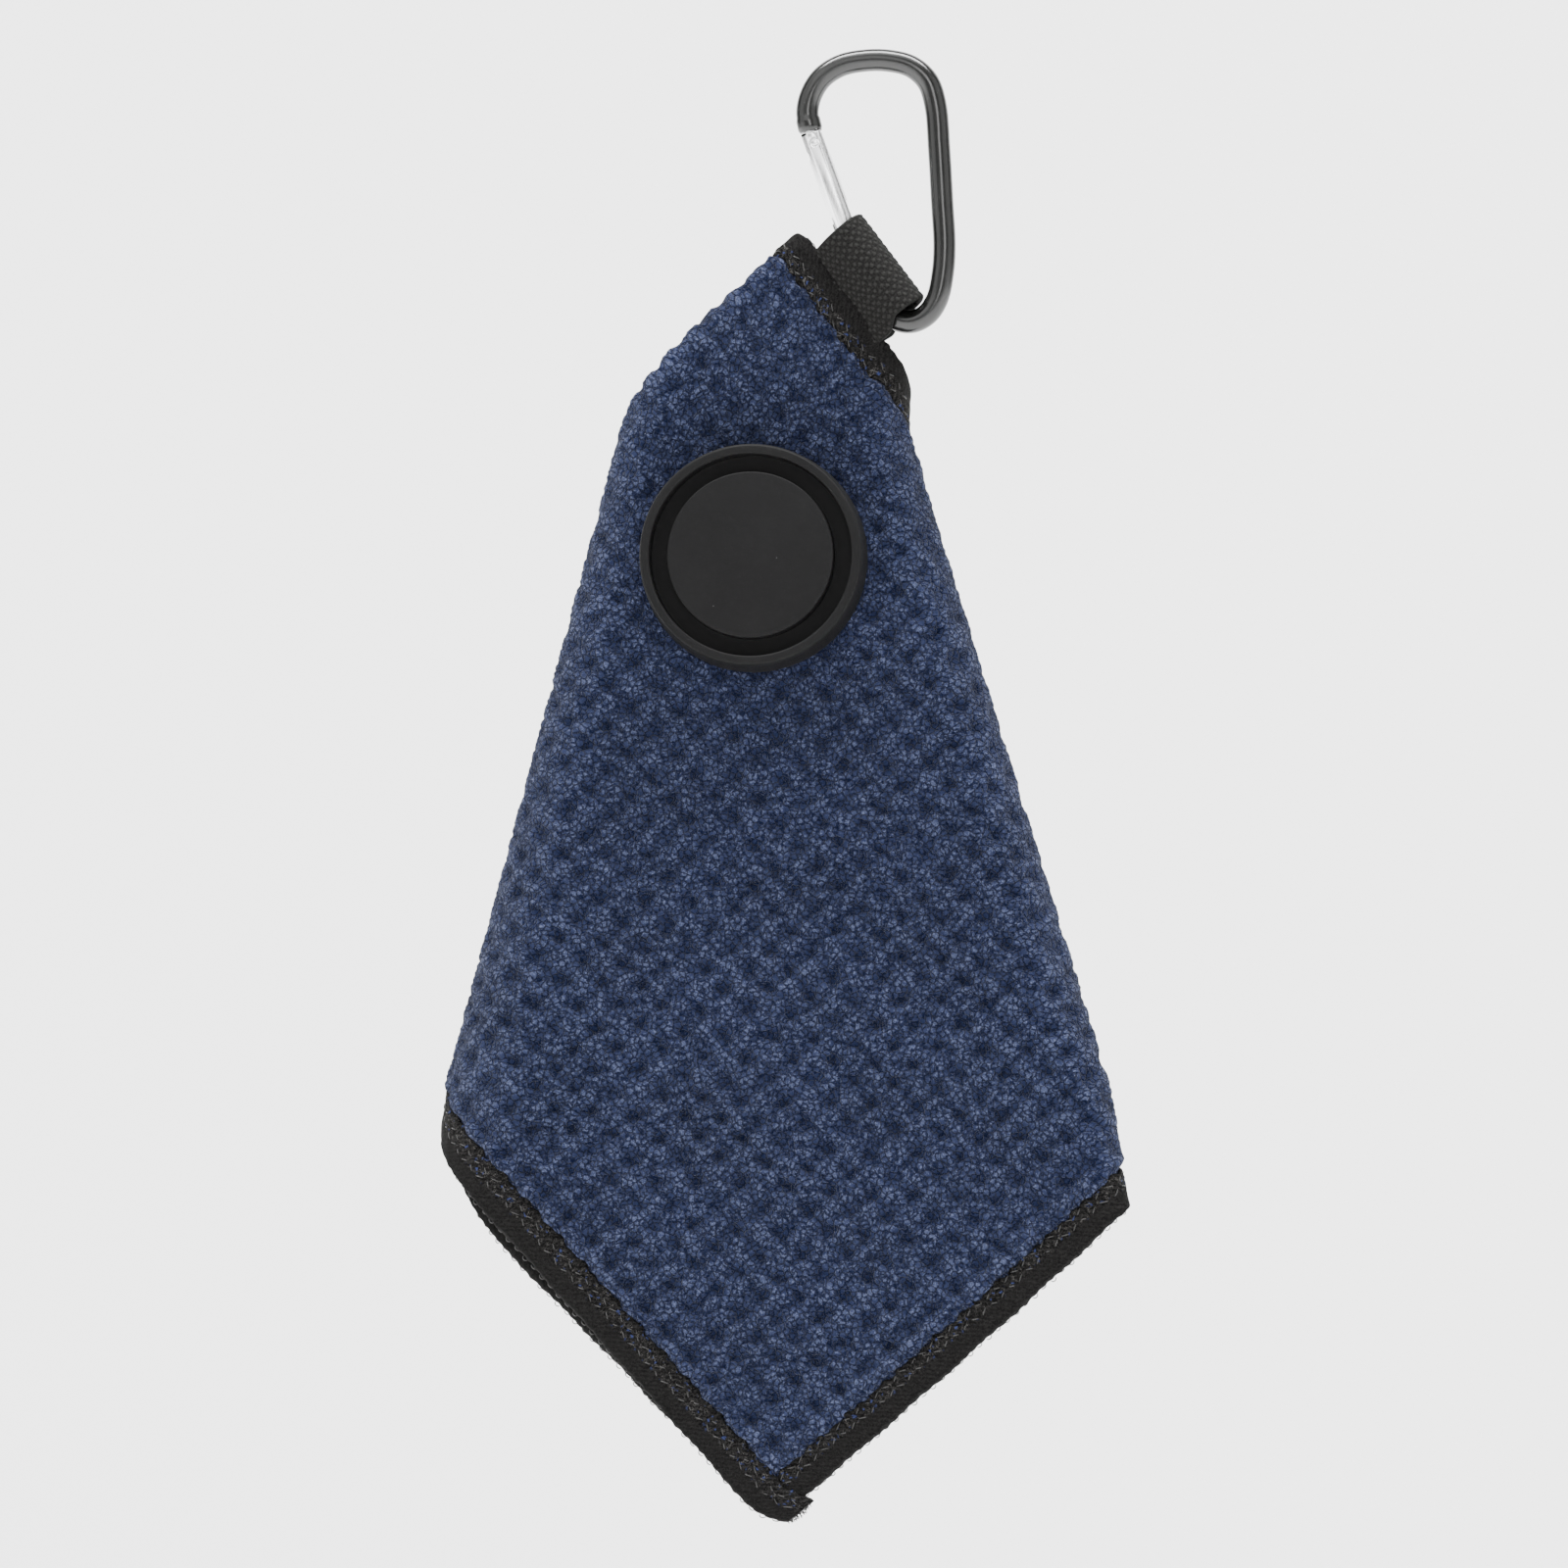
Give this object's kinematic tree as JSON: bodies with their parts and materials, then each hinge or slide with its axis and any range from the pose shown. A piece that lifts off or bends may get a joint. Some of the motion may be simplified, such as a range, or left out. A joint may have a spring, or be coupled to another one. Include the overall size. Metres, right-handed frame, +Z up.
{
  "type": "golf towel",
  "caption": "Folded waffle towel held between two round magnet pucks, with a webbing loop and a small carabiner on its top edge.",
  "frame": {"origin": "centre of the back puck's outer flat face, the face that meets steel", "axes": "+Z up along the towel as it hangs, +Y out of the back puck's face, +X to the viewer's right when the front of the towel is looked at"},
  "size_m": [0.1219, 0.0489, 0.2595],
  "materials": {
    "blue_terry": "waffle microfibre terry with curly pile, matt",
    "binding_tape": "knitted tape, matt",
    "webbing": "close basket weave, matt",
    "black_anodised": "gloss black anodised",
    "polished_aluminium": "drawn and polished",
    "spring_steel": "drawn wire",
    "soft_touch_black": "soft-touch moulded",
    "magnet": "nickel plated",
    "grip_rubber": "matt rubber"
  },
  "bodies": {
    "back_puck": {"back_shell": "soft_touch_black", "back_magnet_disc": "magnet", "back_backing": "soft_touch_black", "back_grip_pad": "grip_rubber"},
    "towel": {"waffle_cloth": "blue_terry", "binding_loop_edge": "binding_tape", "binding_lower_edge": "binding_tape", "binding_front_end": "binding_tape", "binding_back_end": "binding_tape"},
    "front_puck": {"front_shell": "soft_touch_black", "front_magnet_disc": "magnet", "front_keeper": "magnet", "front_backing": "soft_touch_black"},
    "loop": {"webbing_loop": "webbing"},
    "carabiner": {"carabiner_body": "black_anodised", "gate_hinge_pin": "polished_aluminium"},
    "gate": {"carabiner_gate": "polished_aluminium", "gate_latch_pin": "polished_aluminium", "gate_spring": "spring_steel"},
    "plunger": {"gate_plunger": "spring_steel"}
  },
  "joints": [
    {"name": "towel_pull_off", "type": "slide", "parent": "back_puck", "child": "towel", "axis": [0, -1, 0], "range_m": [0, 0.03], "stiffness_N_per_m": 100, "springref_m": -0.05},
    {"name": "front_puck_pull_off", "type": "slide", "parent": "towel", "child": "front_puck", "axis": [0, -1, 0], "range_m": [0, 0.03], "stiffness_N_per_m": 100, "springref_m": -0.05},
    {"name": "loop_flex", "type": "hinge", "parent": "towel", "child": "loop", "pos_m": [0.01748, -0.0112, 0.04711], "axis": [0.6, 0, -0.8], "range_deg": [-15, 35]},
    {"name": "carabiner_swing", "type": "hinge", "parent": "loop", "child": "carabiner", "pos_m": [0.02072, -0.0112, 0.04954], "axis": [0.6, 0, -0.8], "range_deg": [-40, 40]},
    {"name": "gate_hinge", "type": "hinge", "parent": "carabiner", "child": "gate", "pos_m": [0.01622, -0.0112, 0.05804], "axis": [0, 1, 0], "range_deg": [0, 16], "stiffness_Nm_per_rad": 0.02, "springref_deg": -20.05},
    {"name": "plunger_slide", "type": "slide", "parent": "gate", "child": "plunger", "axis": [-0.3369, 0, 0.9415], "range_m": [0, 0.0008], "deforming": ["gate_spring"]}
  ],
  "couplings": [
    {"joint": "plunger_slide", "follows": "gate_hinge", "m_per_rad": 0.0022}
  ]
}
